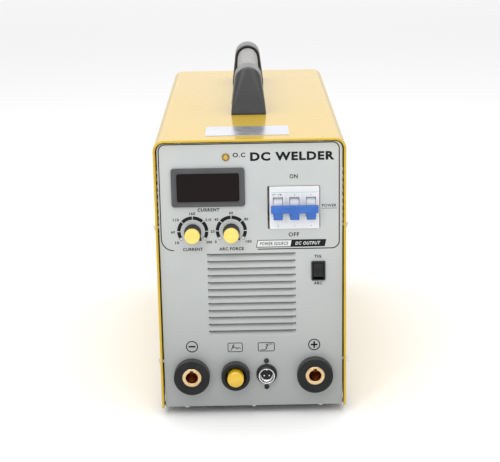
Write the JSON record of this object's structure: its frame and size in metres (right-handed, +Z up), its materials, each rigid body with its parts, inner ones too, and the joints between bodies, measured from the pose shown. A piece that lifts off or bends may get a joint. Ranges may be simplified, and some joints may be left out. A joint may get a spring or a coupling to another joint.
{
  "type": "tig welding machine",
  "caption": "Portable inverter welding machine for TIG and stick welding: folded cover with carrying handle, control panel, breaker, dials, louvres, two cable sockets and a gas outlet.",
  "frame": {"origin": "on the ground plane under the feet, midway across the width and midway between the foremost and rearmost points", "axes": "+Z up, front panel towards -Y, +X to the right of someone facing the front panel"},
  "size_m": [0.2094, 0.5156, 0.365],
  "materials": {
    "dark_steel": "satin",
    "panel_grey": "satin",
    "cover_yellow": "gloss",
    "zinc_steel": "zinc plated",
    "foot_rubber": "matte",
    "screw_steel": "plated",
    "handle_black": "gloss",
    "plate_silver": "satin",
    "bezel_charcoal": "satin",
    "window_dark": "gloss",
    "board_green": "satin",
    "lamp_gold": "satin",
    "lamp_amber": "gloss",
    "knob_black": "satin",
    "cap_pale_yellow": "satin",
    "pot_metal": "satin",
    "breaker_white": "satin",
    "breaker_blue": "satin",
    "switch_black": "satin",
    "socket_black": "satin",
    "contact_brass": "turned",
    "cap_yellow": "gloss",
    "chrome_shell": "polished",
    "black_screw": "blackened",
    "sink_aluminium": "extruded",
    "capacitor_sleeve": "gloss",
    "ferrite": "matte",
    "coil_copper": "enamelled",
    "hose_rubber": "matte",
    "fan_black": "satin",
    "guard_chrome": "bright wire",
    "fittings_black": "satin"
  },
  "bodies": {
    "chassis": {"base_pan": "dark_steel", "front_panel": "panel_grey", "rear_panel": "panel_grey", "cover": "cover_yellow", "bridge_plate": "zinc_steel", "rubber_feet": "foot_rubber", "foot_screws": "screw_steel", "cover_screws": "screw_steel", "base_screws": "screw_steel", "handle_front_bracket": "handle_black", "handle_rear_bracket": "handle_black", "handle_grip": "handle_black", "handle_screws": "screw_steel", "rating_plate": "plate_silver", "display_bezel": "bezel_charcoal", "display_window": "window_dark", "display_board": "board_green", "lamp_holder": "lamp_gold", "overcurrent_lamp": "lamp_amber", "current_potentiometer": "pot_metal", "arc_force_potentiometer": "pot_metal", "dial_nuts": "screw_steel", "breaker_body": "breaker_white", "breaker_rail": "zinc_steel", "mode_switch_housing": "switch_black", "negative_socket_shell": "socket_black", "negative_socket_contact": "contact_brass", "positive_socket_shell": "socket_black", "positive_socket_contact": "contact_brass", "socket_nuts": "contact_brass", "gas_outlet_ring": "socket_black", "gas_outlet_fitting": "contact_brass", "torch_socket_gasket": "switch_black", "torch_socket_shell": "chrome_shell", "torch_socket_insert": "switch_black", "torch_socket_screws": "black_screw", "control_board": "board_green", "power_board": "board_green", "heatsinks": "sink_aluminium", "filter_capacitors": "capacitor_sleeve", "transformer": "ferrite", "output_choke": "ferrite", "arc_start_coil": "coil_copper", "gas_valve_body": "contact_brass", "gas_inlet_nozzle": "contact_brass", "gas_hose": "hose_rubber", "fan_frame": "fan_black", "fan_guard": "guard_chrome", "rear_fittings": "fittings_black"},
    "breaker_toggle": {"breaker_handle": "breaker_blue"},
    "current_dial": {"current_knob": "knob_black", "current_knob_cap": "cap_pale_yellow", "current_shaft": "pot_metal"},
    "arc_force_dial": {"arc_force_knob": "knob_black", "arc_force_knob_cap": "cap_pale_yellow", "arc_force_shaft": "pot_metal"},
    "mode_rocker": {"mode_switch_rocker": "switch_black"},
    "gas_cap": {"gas_outlet_cap": "cap_yellow"},
    "cooling_fan": {"fan_rotor": "fan_black"},
    "valve_plunger": {"gas_valve_plunger": "zinc_steel"}
  },
  "joints": [
    {"name": "breaker_hinge", "type": "hinge", "parent": "chassis", "child": "breaker_toggle", "pos_m": [0.04706, -0.23175, 0.2405], "axis": [-1, 0, 0], "range_deg": [0, 45]},
    {"name": "current_turn", "type": "hinge", "parent": "chassis", "child": "current_dial", "pos_m": [-0.06258, -0.23825, 0.212], "axis": [0, -1, 0], "range_deg": [0, 270]},
    {"name": "arc_force_turn", "type": "hinge", "parent": "chassis", "child": "arc_force_dial", "pos_m": [-0.02108, -0.23825, 0.212], "axis": [0, -1, 0], "range_deg": [0, 270]},
    {"name": "mode_rock", "type": "hinge", "parent": "chassis", "child": "mode_rocker", "pos_m": [0.0724, -0.23475, 0.166], "axis": [1, 0, 0], "range_deg": [0, 24]},
    {"name": "gas_cap_pull", "type": "slide", "parent": "chassis", "child": "gas_cap", "axis": [0, -1, 0], "range_m": [0, 0.02]},
    {"name": "fan_spin", "type": "hinge", "parent": "chassis", "child": "cooling_fan", "pos_m": [-0.02, 0.19425, 0.079], "axis": [0, 1, 0], "continuous": true},
    {"name": "valve_lift", "type": "slide", "parent": "chassis", "child": "valve_plunger", "axis": [0, 0, 1], "range_m": [0, 0.003], "stiffness_N_per_m": 150, "springref_m": -0.003}
  ]
}
